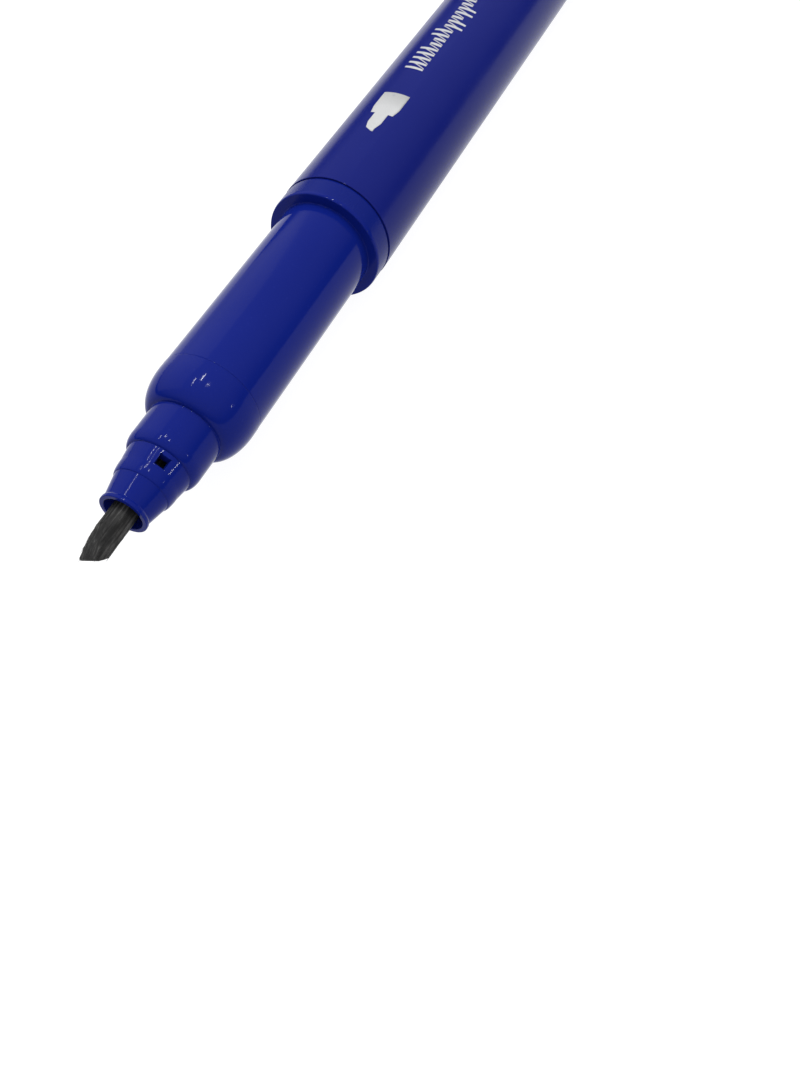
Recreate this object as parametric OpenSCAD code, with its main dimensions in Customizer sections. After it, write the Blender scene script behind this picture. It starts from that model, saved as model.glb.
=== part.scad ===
// Twin-tip calligraphy marker, drawn uncapped: a fine chisel tip on the -X end and a
// broad chisel tip on the +X end of one barrel, each with its own pull-off cap.
// X runs along the marker, Z is up, and the origin is the middle of the barrel on its axis.
// Each end is described by its station, the distance from the barrel's end towards the tip.

/* [Barrel] */
// Length of the barrel tube between the two collars
barrel_len = 72; // [60:1:90]
// Outer radius of the barrel tube
barrel_r = 6; // [6:0.05:6.3]
// Radius of the bore through the barrel tube
barrel_bore_r = 4.95; // [4.9:0.01:5]

/* [Collars and necks] */
// Length of the collar that stands out between the barrel and each neck
collar_len = 2.7; // [2.4:0.1:3]
// Radius of the collars
collar_r = 5.94; // [5.8:0.01:5.95]
// Outer radius of the fine end's neck
fine_neck_r = 4.88; // [4.6:0.01:4.9]
// Outer radius of the broad end's neck
broad_neck_r = 4.62; // [4.5:0.01:4.85]
// Station of the ring line where each neck meets its nose
ring_station = 24.9; // [24:0.1:25.5]
// Radius of the bore that holds the ink reservoir
neck_bore_r = 3.7; // [3.7:0.01:3.75]

/* [Fine tip] */
// Diameter of the fine nib's fibre rod
fine_rod_d = 2.3; // [2.1:0.1:2.4]
// Station of the fine nib's chisel edge
fine_tip_station = 43.65; // [43:0.05:43.8]
// Roll of the fine chisel edge about the marker, from straight up
fine_edge_roll = -60; // [-90:5:90]
// Roll of the fine nose's square vent, from straight up
fine_vent_roll = -32; // [-60:1:60]

/* [Broad tip] */
// Diameter of the broad nib's round body
broad_rod_d = 4.1; // [3.9:0.1:4.2]
// Width of the broad chisel edge
broad_edge_w = 3.5; // [3:0.1:3.8]
// Station of the broad nib's chisel edge
broad_tip_station = 42.8; // [42:0.1:43]
// Roll of the broad chisel edge about the marker, from straight up
broad_edge_roll = -3; // [-45:1:45]
// Roll of the broad nose's square vent, from straight up
broad_vent_roll = -38; // [-60:1:60]

/* [Caps] */
// Outer radius of both caps
cap_r = 6; // [5.95:0.01:6]
// Radius of the bore in both cap shells
cap_bore_r = 5.1; // [5.05:0.01:5.15]
// Length of both cap shells
cap_shell_len = 44.6; // [44.6:0.1:46]
// Clear space between the fine nib and its pulled-off cap
fine_cap_gap = 21.75; // [10:0.25:30]
// Clear space between the broad nib and its pulled-off cap
broad_cap_gap = 12; // [10:1:30]
// Height of the pocket clip above the cap's axis
clip_top_r = 8.8; // [8.2:0.1:9]
// Width of the pocket clip
clip_w = 3.2; // [2.6:0.1:4]

/* [Hidden] */

$fn = 96;
round_steps = 8;          // facets along a moulded rounding
push_gap = 0.03;          // radial gap of the pieces pushed together for good
overrun = 1;              // how far a cutter runs past the solid it cuts

edge_break = 0.12;        // broken edge on every moulded rim
groove_depth = 0.1;       // thin groove behind each collar
groove_w = 0.28;
collar_round_len = 0.35;   // how much of each collar's front is rounded
spigot_len = 9;           // how far each section reaches into the barrel

nose_tail_len = 4.4;      // how far each nose reaches back into its neck
tail_bury = 2.4;          // how far each nib's tail reaches into the reservoir
reservoir_r = 3.62;
film_t = 0.1;
reservoir_end = ring_station - nose_tail_len - 0.2;
reservoir_len = barrel_len + 2 * reservoir_end;

fine_rod_r = fine_rod_d / 2;
fine_bore_r = fine_rod_r + push_gap;
fine_chamber_r = 2.05;
fine_shoulder_r = fine_neck_r + 0.03;
// Moulded steps of the fine nose: each rounding's start station, radius, end station, radius
fine_steps = [[25.7, fine_shoulder_r, 29.2, 3.42], [32.3, 3.4, 33.4, 2.95], [34.9, 2.75, 36.2, 2.5]];
fine_cone_end = [2.08, 38.3];
fine_rim_r = 2.2;
fine_rim_len = 0.3;
fine_rim_station = 38.8;
fine_mouth_r = 1.8;
fine_mouth_depth = 1.6;
fine_chamber = [31.5, 35];   // air chamber round the nib, behind the vent
chamber_slope = 0.5;
fine_bevel_station = fine_tip_station - 3.05;    // start of the long bevel on top
fine_under_station = fine_tip_station - 1.25;    // start of the short bevel below
fine_edge_t = 0.25;

broad_rod_r = broad_rod_d / 2;
broad_bore_r = broad_rod_r + push_gap;
broad_chamber_r = 2.5;
broad_shoulder_r = broad_neck_r + 0.03;
// Moulded steps of the broad nose, and the lip band at its end
broad_steps = [[26.3, broad_shoulder_r, 29, 3.15], [32.4, 3, 33.2, 2.5]];
broad_lip_r = 2.42;
broad_lip_groove = [36.25, 36.45];
broad_rim_station = 37.4;
broad_rim_r = 2.2;
broad_chamber = [30.5, 32.8];
broad_body_station = 38.6;
broad_scoop_station = 41.1;
broad_edge_t = 0.9;
blade_root_r = broad_edge_t / 2 + 0.1;
scoop_start = [broad_rod_r - 0.4, broad_body_station + 0.3];
broad_edge_slant = 0.8;

vent_w = 1;               // both vents are square holes with this side
fine_vent_station = 34.3;
broad_vent_station = 31.9;

fine_mouth_off = fine_tip_station + fine_cap_gap;
broad_mouth_off = broad_tip_station + broad_cap_gap;
end_wall = 1;
plug_r = 4;
plug_reach = 1.6;
plug_head_len = 1.6;
seal_front = 27.2;        // depths inside a cap are counted from its mouth
seal_back = 42.8;
seal_floor = 1;
seal_flange_len = 1.2;
seal_r = cap_bore_r - push_gap;
seal_wall = 0.6;
fine_seal_bore_r = 3.6;
broad_seal_bore_r = 3.4;
clip_ring_t = 1;
clip_t = 1;
clip_free_end = 12;
clip_pad_len = 3;
clip_pad_r = cap_r + 0.12;
// The clip's outer corner touches the ground that the cap lies on
clip_corner_r = sqrt(clip_top_r * clip_top_r + clip_w * clip_w / 4);
clip_roll = 180 - acos(cap_r / clip_corner_r) - atan(clip_w / 2 / clip_top_r);

// Points of a moulded rounding that leaves a turned wall at station s0 and radius r0 and
// ends on a face at station s1 and radius r1.
function rounding(s0, r0, s1, r1) = [
    for (i = [0:round_steps])
        let (a = 90 * i / round_steps)
        [r1 + (r0 - r1) * cos(a), s0 + (s1 - s0) * sin(a)]
];

// A turned piece from its half outline, each point being radius and station.
module turned(outline) {
    rotate_extrude() polygon(outline);
}

// Places a piece drawn along +Z at an end of the barrel, with local +X turned up.
module at_fine_end() {
    translate([-barrel_len / 2, 0, 0]) rotate([0, -90, 0]) children();
}
module at_broad_end() {
    translate([barrel_len / 2, 0, 0]) rotate([0, 90, 0]) rotate([0, 0, 180]) children();
}

module barrel_tube() {
    color([0.115, 0.15, 0.49])
    at_fine_end()
    turned([
        [barrel_bore_r, 0],
        [barrel_r - edge_break, 0],
        [barrel_r, -edge_break],
        [barrel_r, edge_break - barrel_len],
        [barrel_r - edge_break, -barrel_len],
        [barrel_bore_r, -barrel_len]
    ]);
}

// A neck with its collar and the spigot that is pushed into the barrel.
module section(neck_r) {
    spigot_r = barrel_bore_r - push_gap;
    turned(concat(
        [[neck_bore_r, -spigot_len], [spigot_r, -spigot_len], [spigot_r, 0]],
        [[collar_r - groove_depth, 0], [collar_r - groove_depth, groove_w]],
        [[collar_r, groove_w + edge_break]],
        rounding(collar_len - collar_round_len, collar_r, collar_len, collar_r - edge_break),
        [[neck_r, collar_len]],
        [[neck_r, ring_station - edge_break], [neck_r - edge_break, ring_station]],
        [[neck_bore_r, ring_station]]
    ));
}

module fine_section() {
    color([0.1, 0.13, 0.51]) at_fine_end() section(fine_neck_r);
}

module broad_section() {
    color([0.09, 0.095, 0.095]) at_broad_end() section(broad_neck_r);
}

// A square hole through a nose's wall, at a station and a roll, down to radius r_in.
module vent(station, roll, r_in) {
    rotate([0, 0, roll])
        translate([r_in - 0.3, -vent_w / 2, station - vent_w / 2])
        cube([barrel_r, vent_w, vent_w]);
}

// The back of a nose: its bore, the tail pushed into the neck and the ring line's edge.
function nose_back(bore_r, shoulder_r) = [
    [bore_r, ring_station - nose_tail_len],
    [neck_bore_r - push_gap, ring_station - nose_tail_len],
    [neck_bore_r - push_gap, ring_station],
    [shoulder_r - edge_break, ring_station],
    [shoulder_r, ring_station + edge_break]
];

// The air chamber round a nib, from its front end back to its rear end.
function chamber_outline(ends, chamber_r, bore_r) = [
    [bore_r, ends[1] + chamber_slope], [chamber_r, ends[1]],
    [chamber_r, ends[0]], [bore_r, ends[0] - chamber_slope]
];

function all_roundings(steps) = [for (s = steps) each rounding(s[0], s[1], s[2], s[3])];

module fine_nose() {
    color([0.1, 0.13, 0.51])
    at_fine_end()
    difference() {
        turned(concat(
            nose_back(fine_bore_r, fine_shoulder_r),
            all_roundings(fine_steps),
            [fine_cone_end, [fine_rim_r, fine_rim_station - fine_rim_len]],
            [[fine_rim_r - edge_break, fine_rim_station], [fine_mouth_r, fine_rim_station]],
            [[fine_mouth_r - 2 * edge_break, fine_rim_station - fine_mouth_depth + 0.6]],
            [[fine_bore_r, fine_rim_station - fine_mouth_depth]],
            chamber_outline(fine_chamber, fine_chamber_r, fine_bore_r)
        ));
        vent(fine_vent_station, fine_vent_roll, fine_chamber_r);
    }
}

module broad_nose() {
    color([0.09, 0.095, 0.095])
    at_broad_end()
    difference() {
        turned(concat(
            nose_back(broad_bore_r, broad_shoulder_r),
            all_roundings(broad_steps),
            [[broad_lip_r, broad_lip_groove[0]], [broad_lip_r - groove_depth, broad_lip_groove[0]]],
            [[broad_lip_r - groove_depth, broad_lip_groove[1]], [broad_lip_r, broad_lip_groove[1]]],
            rounding(broad_rim_station - 0.4, broad_lip_r, broad_rim_station, broad_rim_r),
            [[broad_bore_r, broad_rim_station]],
            chamber_outline(broad_chamber, broad_chamber_r, broad_bore_r)
        ));
        vent(broad_vent_station, broad_vent_roll, broad_chamber_r);
    }
}

// A plate that holds a nib's outline across X, extruded along Y past the rod.
module nib_plate(outline) {
    rotate([90, 0, 0]) linear_extrude(height = 8, center = true) polygon(outline);
}

// Fibre rod ground to a chisel edge by a long bevel on top and a short one below.
module fine_nib() {
    root = reservoir_end - tail_bury;
    r = fine_rod_r;
    color([0.2, 0.2, 0.19])
    at_fine_end()
    rotate([0, 0, fine_edge_roll])
    intersection() {
        translate([0, 0, root]) cylinder(r = r, h = fine_tip_station - root);
        // the edge lies along local X
        rotate([0, 0, 90])
        nib_plate([
            [-2 * r, root - overrun], [2 * r, root - overrun],
            [2 * r, fine_bevel_station - overrun], [r, fine_bevel_station],
            [fine_edge_t / 2, fine_tip_station], [-fine_edge_t / 2, fine_tip_station],
            [-r, fine_under_station], [-2 * r, fine_under_station - overrun]
        ]);
    }
}

// Half of the broad nib's side outline: a rounded shoulder, a hollow scoop and the flat blade.
function scoop(a) = [
    scoop_start[0] - (scoop_start[0] - blade_root_r) * sin(a),
    scoop_start[1] + (broad_scoop_station - scoop_start[1]) * (1 - cos(a))
];
function broad_half() = concat(
    rounding(broad_body_station - 0.5, broad_rod_r, scoop_start[1], scoop_start[0]),
    [for (i = [1:round_steps]) scoop(90 * i / round_steps)],
    [[broad_edge_t / 2, broad_tip_station + overrun]]
);

// Fibre rod with both sides scooped down to a broad flat blade with a slanted edge.
module broad_nib() {
    root = reservoir_end - tail_bury;
    r = broad_rod_r;
    half = broad_half();
    color([0.2, 0.2, 0.19])
    at_broad_end()
    rotate([0, 0, broad_edge_roll])
    intersection() {
        translate([0, 0, root]) cylinder(r = r, h = broad_tip_station - root);
        nib_plate([
            [-2 * r, root - overrun], [2 * r, root - overrun],
            [2 * r, broad_body_station], [r, broad_body_station],
            [broad_edge_w / 2, broad_tip_station],
            [-broad_edge_w / 2, broad_tip_station - broad_edge_slant],
            [-r, broad_body_station], [-2 * r, broad_body_station]
        ]);
        rotate([0, 0, 90])
        nib_plate(concat(
            [[-2 * r, root - overrun], [2 * r, root - overrun], [2 * r, broad_body_station - 1]],
            half,
            [for (i = [len(half) - 1:-1:0]) [-half[i][0], half[i][1]]],
            [[-2 * r, broad_body_station - 1]]
        ));
    }
}

module ink_reservoir_core() {
    core_r = reservoir_r - film_t - push_gap;
    color([0.16, 0.16, 0.17])
    difference() {
        at_fine_end() translate([0, 0, -barrel_len - reservoir_end])
            cylinder(r = core_r, h = reservoir_len);
        at_fine_end() translate([0, 0, reservoir_end - tail_bury])
            cylinder(r = fine_bore_r, h = tail_bury + overrun);
        at_broad_end() translate([0, 0, reservoir_end - tail_bury])
            cylinder(r = broad_bore_r, h = tail_bury + overrun);
    }
}

module ink_reservoir_film() {
    color([0.75, 0.78, 0.8])
    at_fine_end()
    turned([
        [reservoir_r - film_t, -barrel_len - reservoir_end],
        [reservoir_r, -barrel_len - reservoir_end],
        [reservoir_r, reservoir_end],
        [reservoir_r - film_t, reservoir_end]
    ]);
}

// A cap shell drawn from its mouth at station 0, with an end wall drilled for the plug.
module cap_shell() {
    turned(concat(
        [[cap_bore_r, 0], [cap_r - 2 * edge_break, 0], [cap_r, 2 * edge_break]],
        [[cap_r, cap_shell_len - edge_break], [cap_r - edge_break, cap_shell_len]],
        [[plug_r + push_gap, cap_shell_len], [plug_r + push_gap, cap_shell_len - end_wall]],
        [[cap_bore_r, cap_shell_len - end_wall]]
    ));
}

// The inner cup that closes round the nose and keeps the nib wet.
module cap_seal(bore_r) {
    cup_r = bore_r + seal_wall;
    turned([
        [bore_r + 0.15, seal_front], [seal_r, seal_front],
        [seal_r, seal_front + seal_flange_len], [cup_r, seal_front + seal_flange_len],
        [cup_r, seal_back - seal_flange_len], [seal_r, seal_back - seal_flange_len],
        [seal_r, seal_back], [0, seal_back],
        [0, seal_back - seal_floor], [bore_r, seal_back - seal_floor],
        [bore_r, seal_front + 0.5]
    ]);
}

// The plug that closes a cap's end; lift makes room for a clip ring under its head.
module cap_plug(lift) {
    seat = cap_shell_len + lift;
    turned(concat(
        [[0, cap_shell_len - plug_reach], [plug_r, cap_shell_len - plug_reach], [plug_r, seat]],
        [[cap_r - edge_break, seat]],
        rounding(seat + plug_head_len - 1, cap_r - edge_break, seat + plug_head_len, cap_r - 1.2),
        [[0, seat + plug_head_len]]
    ));
}

// Ring held under the plug's head, with an arm that folds over and runs back to the mouth.
module clip_body() {
    ring_end = cap_shell_len + clip_ring_t;
    turned([
        [plug_r + push_gap, cap_shell_len], [cap_r - edge_break, cap_shell_len],
        [cap_r - edge_break, ring_end], [plug_r + push_gap, ring_end]
    ]);
    rotate([0, 0, clip_roll])
    rotate([90, 0, 0])
    linear_extrude(height = clip_w, center = true)
    polygon(concat(
        [[cap_r - 0.8, cap_shell_len + 0.05], [clip_top_r - clip_t, cap_shell_len + 0.05]],
        [[clip_top_r - clip_t, clip_free_end + clip_pad_len + 1.5]],
        [[clip_pad_r, clip_free_end + clip_pad_len], [clip_pad_r, clip_free_end + 1]],
        [[clip_top_r - clip_t, clip_free_end], [clip_top_r - 0.3, clip_free_end]],
        [[clip_top_r, clip_free_end + 0.5], [clip_top_r, ring_end - 1]],
        rounding(ring_end - 1, clip_top_r, ring_end, clip_top_r - 1),
        [[cap_r - 0.8, ring_end]]
    ));
}

module fine_cap_shell() {
    color([0.1, 0.13, 0.51]) at_fine_end() translate([0, 0, fine_mouth_off]) cap_shell();
}

module fine_cap_seal() {
    color([0.85, 0.86, 0.86]) at_fine_end() translate([0, 0, fine_mouth_off]) cap_seal(fine_seal_bore_r);
}

module fine_cap_plug() {
    color([0.1, 0.13, 0.51]) at_fine_end() translate([0, 0, fine_mouth_off]) cap_plug(clip_ring_t);
}

module fine_cap_clip() {
    color([0.1, 0.13, 0.51]) at_fine_end() translate([0, 0, fine_mouth_off]) clip_body();
}

module broad_cap_shell() {
    color([0.09, 0.095, 0.095]) at_broad_end() translate([0, 0, broad_mouth_off]) cap_shell();
}

module broad_cap_seal() {
    color([0.85, 0.86, 0.86]) at_broad_end() translate([0, 0, broad_mouth_off]) cap_seal(broad_seal_bore_r);
}

module broad_cap_plug() {
    color([0.09, 0.095, 0.095]) at_broad_end() translate([0, 0, broad_mouth_off]) cap_plug(0);
}

barrel_tube();
fine_section();
fine_nose();
fine_nib();
broad_section();
broad_nose();
broad_nib();
ink_reservoir_core();
ink_reservoir_film();
fine_cap_shell();
fine_cap_seal();
fine_cap_plug();
fine_cap_clip();
broad_cap_shell();
broad_cap_seal();
broad_cap_plug();
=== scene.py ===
"""Looks of a twin-tip calligraphy marker: a fine chisel end, a broad chisel end and two caps.

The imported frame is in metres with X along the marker, Z up and the origin in the middle of the
barrel. Sizes in the classes are millimetres. Each end is described by its station, the distance
from the barrel's end towards the tip, and by a roll about the marker counted from straight up.
"""

import logging
import math
from dataclasses import dataclass, field
from enum import Enum
from typing import Callable, Iterable, Optional, Union

import bmesh
import bpy
from mathutils import Matrix, Vector, noise


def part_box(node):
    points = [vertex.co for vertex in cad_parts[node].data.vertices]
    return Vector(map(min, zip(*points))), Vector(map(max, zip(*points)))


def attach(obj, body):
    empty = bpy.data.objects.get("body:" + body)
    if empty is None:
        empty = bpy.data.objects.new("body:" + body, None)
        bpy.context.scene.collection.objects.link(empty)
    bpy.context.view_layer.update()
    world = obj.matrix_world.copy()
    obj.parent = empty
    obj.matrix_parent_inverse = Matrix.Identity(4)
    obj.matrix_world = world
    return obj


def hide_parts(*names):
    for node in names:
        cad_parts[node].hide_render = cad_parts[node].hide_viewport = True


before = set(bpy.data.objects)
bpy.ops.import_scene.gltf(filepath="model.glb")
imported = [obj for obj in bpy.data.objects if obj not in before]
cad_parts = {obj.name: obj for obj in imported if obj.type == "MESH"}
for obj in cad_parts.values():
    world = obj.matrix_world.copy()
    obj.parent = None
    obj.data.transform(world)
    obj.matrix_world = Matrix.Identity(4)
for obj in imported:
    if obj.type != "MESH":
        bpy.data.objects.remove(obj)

LOG = logging.getLogger("marker")
MM = 0.001
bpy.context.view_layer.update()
BARREL_LEN = 72.0
PUSH_GAP = 0.03  # radial gap of the pieces that are pushed together for good
NIB_ROOT = 17.9  # station of each nib's tail, inside the reservoir
RING_STATION = 24.9  # station where each neck ends and its nose begins
NOSE_STEP = 0.03  # how far each nose stands proud of its neck
VENT_W = 1.0
UNCUT = 4.0  # half width of a blade that is left as wide as its rod

Point = tuple[float, float]
Outline = list[Point]
Colour = tuple[float, float, float]
Ring = list[bmesh.types.BMVert]
Socket = bpy.types.NodeSocket
Value = Union[Socket, float, tuple]


class End(Enum):
    """The two ends of the marker; the value is the side of X it points to."""

    FINE = -1
    BROAD = 1


class Body(Enum):
    """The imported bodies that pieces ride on."""

    MARKER = "marker"
    FINE_CAP = "fine_cap"
    BROAD_CAP = "broad_cap"


# ---------------------------------------------------------------- outlines


def rounding(s0: float, r0: float, s1: float, r1: float, steps: int = 20) -> Outline:
    """A moulded rounding that leaves a turned wall and ends square on a face.

    Args:
        s0: Station where the rounding leaves the wall.
        r0: Radius of the wall.
        s1: Station of the face it ends on.
        r1: Radius at the face.
        steps: Number of straight steps along the rounding.

    Returns:
        The points, each a station and a radius.
    """
    turns = [math.pi / 2 * i / steps for i in range(steps + 1)]
    return [(s0 + (s1 - s0) * math.sin(a), r1 + (r0 - r1) * math.cos(a)) for a in turns]


def soften(outline: Outline, radius: float, steps: int = 4, least_turn: float = 0.4) -> Outline:
    """Rounds every sharp corner of a closed outline.

    Args:
        outline: The closed outline.
        radius: Fillet radius, kept smaller where the corner's sides are short.
        steps: Number of steps along each fillet.
        least_turn: Corners that turn less than this, in radians, stay as they are.

    Returns:
        The outline with its corners filleted.
    """
    out: Outline = []
    count = len(outline)
    for i, corner in enumerate(outline):
        here = Vector(corner)
        back = Vector(outline[i - 1]) - here
        ahead = Vector(outline[(i + 1) % count]) - here
        on_axis = here.y < 1e-6
        turn = math.pi - back.angle(ahead) if back.length > 0 and ahead.length > 0 else 0
        if on_axis or turn < least_turn:
            out.append(corner)
            continue
        reach = min(radius * math.tan(turn / 2), 0.45 * back.length, 0.45 * ahead.length)
        start = here + back.normalized() * reach
        end = here + ahead.normalized() * reach
        for k in range(steps + 1):
            t = k / steps
            spot = start * (1 - t) ** 2 + here * 2 * t * (1 - t) + end * t * t
            out.append((spot.x, spot.y))
    return out


def support(outline: Outline, edge: float = 0.05, step: float = 1.5) -> Outline:
    """Adds rings beside the ends of long walls, so that they shade true, and along them.

    Args:
        outline: The closed outline.
        edge: Distance of the first ring from each end of a wall.
        step: Longest wall left undivided.

    Returns:
        The outline with the added points.
    """
    out: Outline = []
    for i, corner in enumerate(outline):
        here, ahead = Vector(corner), Vector(outline[(i + 1) % len(outline)])
        out.append(corner)
        length = (ahead - here).length
        if length < 5 * edge or (here.y < 1e-6 and ahead.y < 1e-6):
            continue
        cuts = max(1, round((length - 2 * edge) / step))
        marks = [edge + (length - 2 * edge) * k / cuts for k in range(cuts + 1)]
        out += [tuple(here.lerp(ahead, mark / length)) for mark in marks]
    return out


# ---------------------------------------------------------------- places and meshes


@dataclass(frozen=True)
class Place:
    """Turns a station, radius and roll at one end of the barrel into a point of the frame."""

    end: End
    barrel_len: float
    mouth: float = 0.0

    def point(self, station: float, radius: float, roll: float) -> Vector:
        """Gives a point of the frame, in metres.

        Args:
            station: Distance from the barrel's end, or from the cap's mouth, in mm.
            radius: Distance from the axis in mm.
            roll: Angle from straight up in radians.

        Returns:
            The point.
        """
        side = self.end.value
        along = side * (self.barrel_len / 2 + self.mouth + station)
        return Vector((along, -side * radius * math.sin(roll), radius * math.cos(roll))) * MM


def mesh_object(name: str, mesh: bmesh.types.BMesh, outward: bool = True) -> bpy.types.Object:
    """Turns a bmesh into a smooth-shaded object at the origin.

    Args:
        name: Name of the piece.
        mesh: The geometry in metres; it is freed.
        outward: Recalculate the normals so that the faces point out.

    Returns:
        The new object, linked to the scene.
    """
    if outward:
        bmesh.ops.recalc_face_normals(mesh, faces=mesh.faces)
    data = bpy.data.meshes.new(name)
    mesh.to_mesh(data)
    mesh.free()
    data.polygons.foreach_set("use_smooth", [True] * len(data.polygons))
    data.set_sharp_from_angle(angle=math.radians(34))
    made = bpy.data.objects.new(name, data)
    bpy.context.scene.collection.objects.link(made)
    return made


@dataclass(frozen=True)
class Window:
    """A square hole through a turned wall."""

    station: float
    width: float
    roll: float
    wall_r: float

    @property
    def half_turn(self) -> float:
        """Half of the hole's width as an angle about the axis."""
        return math.asin(self.width / 2 / self.wall_r)

    def stations(self) -> tuple[float, float]:
        """The hole's back and front stations."""
        return self.station - self.width / 2, self.station + self.width / 2


@dataclass(frozen=True)
class PartingLine:
    """The fine raised line that a two-part mould leaves along a piece."""

    roll: float
    height: float = 0.035
    width: float = 0.1
    wall_r: float = 4.7
    inner_r: float = 4.2

    def lift(self, roll: float) -> float:
        """Height of the line at a roll."""
        across = math.remainder(roll - self.roll, math.tau) * self.wall_r
        return self.height * math.exp(-((across / self.width) ** 2))


@dataclass
class Turning:
    """A closed half outline turned about the marker's axis."""

    outline: Outline
    segments: int = 176
    window: Optional[Window] = None
    parting: Optional[PartingLine] = None

    def rolls(self) -> list[float]:
        """Gives the rolls of the turned columns.

        Returns:
            Rolls in radians, with extra columns at the window and the parting line.
        """
        rolls = [math.tau * i / self.segments for i in range(self.segments)]
        if self.window:
            half, mid = self.window.half_turn, self.window.roll % math.tau
            rolls = [a for a in rolls if abs(math.remainder(a - mid, math.tau)) > half + 0.004]
            rolls += [(mid + half * (k / 3 - 1)) % math.tau for k in range(7)]
        if self.parting:
            mid = self.parting.roll % math.tau
            rolls = [a for a in rolls if abs(math.remainder(a - mid, math.tau)) > 0.06]
            rolls += [(mid + 0.006 * k) % math.tau for k in range(-9, 10)]
        return sorted(rolls)

    def _with_window_rings(self, outline: Outline) -> Outline:
        """Adds the window's stations to every wall that crosses them.

        Args:
            outline: The closed outline.

        Returns:
            The outline with a ring at each of the window's stations.
        """
        if not self.window:
            return outline
        back, front = self.window.stations()
        marks = [back + (front - back) * k / 4 for k in range(5)]
        out: Outline = []
        for i, (s0, r0) in enumerate(outline):
            s1, r1 = outline[(i + 1) % len(outline)]
            inside = back - 1e-6 < s0 < front + 1e-6
            if not inside or any(abs(s0 - m) < 1e-6 for m in marks):
                out.append((s0, r0))
            crossed = [m for m in marks if min(s0, s1) + 1e-6 < m < max(s0, s1) - 1e-6]
            crossed.sort(reverse=s1 < s0)
            out += [(m, r0 + (r1 - r0) * (m - s0) / (s1 - s0)) for m in crossed]
        return out

    def build(self, name: str, place: Place) -> bpy.types.Object:
        """Turns the outline into a closed mesh.

        Args:
            name: Name of the piece.
            place: Where the piece sits.

        Returns:
            The new object.
        """
        outline = self._with_window_rings(support(self.outline))
        rolls = self.rolls()
        mesh = bmesh.new()
        rings: list[Ring] = []
        for station, radius in outline:
            if radius < 1e-6:
                rings.append([mesh.verts.new(place.point(station, 0, 0))])
                continue
            rings.append([
                mesh.verts.new(place.point(station, radius + self._lift(radius, roll), roll))
                for roll in rolls
            ])
        for i, (ring, ahead) in enumerate(zip(rings, rings[1:] + rings[:1])):
            s0, s1 = outline[i][0], outline[(i + 1) % len(outline)][0]
            self._skin(mesh, ring, ahead, rolls, s0, s1)
        if self.window:
            self._line_window(mesh, outline, rings, rolls)
        return mesh_object(name, mesh)

    def _lift(self, radius: float, roll: float) -> float:
        """Height of the parting line, which only the outer wall has."""
        return self.parting.lift(roll) if self.parting and radius > self.parting.inner_r else 0.0

    def _open(self, s0: float, s1: float, roll: float) -> bool:
        """Tells whether a face's middle lies in the window.

        Args:
            s0: Station of the face's first ring.
            s1: Station of its next ring.
            roll: Roll of its middle.

        Returns:
            True where the face has to be left out.
        """
        if not self.window:
            return False
        back, front = self.window.stations()
        turn = abs(math.remainder(roll - self.window.roll, math.tau))
        return back < (s0 + s1) / 2 < front and turn < self.window.half_turn

    def _skin(self, mesh: bmesh.types.BMesh, ring: Ring, ahead: Ring, rolls: list[float],
              s0: float, s1: float) -> None:
        """Joins two neighbouring rings, leaving the window open.

        Args:
            mesh: The mesh being built.
            ring: Vertices of the first ring, or one vertex on the axis.
            ahead: Vertices of the next ring, or one vertex on the axis.
            rolls: Rolls of the columns.
            s0: Station of the first ring.
            s1: Station of the next ring.
        """
        if len(ring) == 1 and len(ahead) == 1:
            return
        count = len(rolls)
        for j in range(count):
            k = (j + 1) % count
            middle = rolls[j] + math.remainder(rolls[k] - rolls[j], math.tau) / 2
            if self._open(s0, s1, middle):
                continue
            if len(ring) == 1:
                mesh.faces.new((ring[0], ahead[j], ahead[k]))
            elif len(ahead) == 1:
                mesh.faces.new((ring[j], ahead[0], ring[k]))
            else:
                mesh.faces.new((ring[j], ahead[j], ahead[k], ring[k]))

    def _line_window(self, mesh: bmesh.types.BMesh, outline: Outline, rings: list[Ring],
                     rolls: list[float]) -> None:
        """Joins the outer and inner edges of the window with its four walls, and breaks its edge.

        Args:
            mesh: The mesh being built.
            outline: The outline with the window's stations in it.
            rings: Vertices of every ring.
            rolls: Rolls of the columns.
        """
        back, front = self.window.stations()
        inside = [i for i, (s, _) in enumerate(outline) if back - 1e-5 < s < front + 1e-5]
        mean_r = sum(outline[i][1] for i in inside) / len(inside)
        outer = sorted((i for i in inside if outline[i][1] > mean_r), key=lambda i: outline[i][0])
        inner = sorted((i for i in inside if outline[i][1] < mean_r), key=lambda i: outline[i][0])
        half = self.window.half_turn + 1e-5
        columns = [j for j, a in enumerate(rolls)
                   if abs(math.remainder(a - self.window.roll, math.tau)) < half]
        columns.sort(key=lambda j: math.remainder(rolls[j] - self.window.roll, math.tau))
        lip: list[bmesh.types.BMEdge] = []
        for i, k in ((outer[0], inner[0]), (outer[-1], inner[-1])):
            for a, b in zip(columns, columns[1:]):
                wall = mesh.faces.new((rings[i][a], rings[i][b], rings[k][b], rings[k][a]))
                lip.append(wall.edges[0])
        for j in (columns[0], columns[-1]):
            for (i, i2), (k, k2) in zip(zip(outer, outer[1:]), zip(inner, inner[1:])):
                wall = mesh.faces.new((rings[i][j], rings[i2][j], rings[k2][j], rings[k][j]))
                lip.append(wall.edges[0])
        bmesh.ops.bevel(mesh, geom=lip, offset=0.05 * MM, segments=3, affect="EDGES", profile=0.5)


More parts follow.
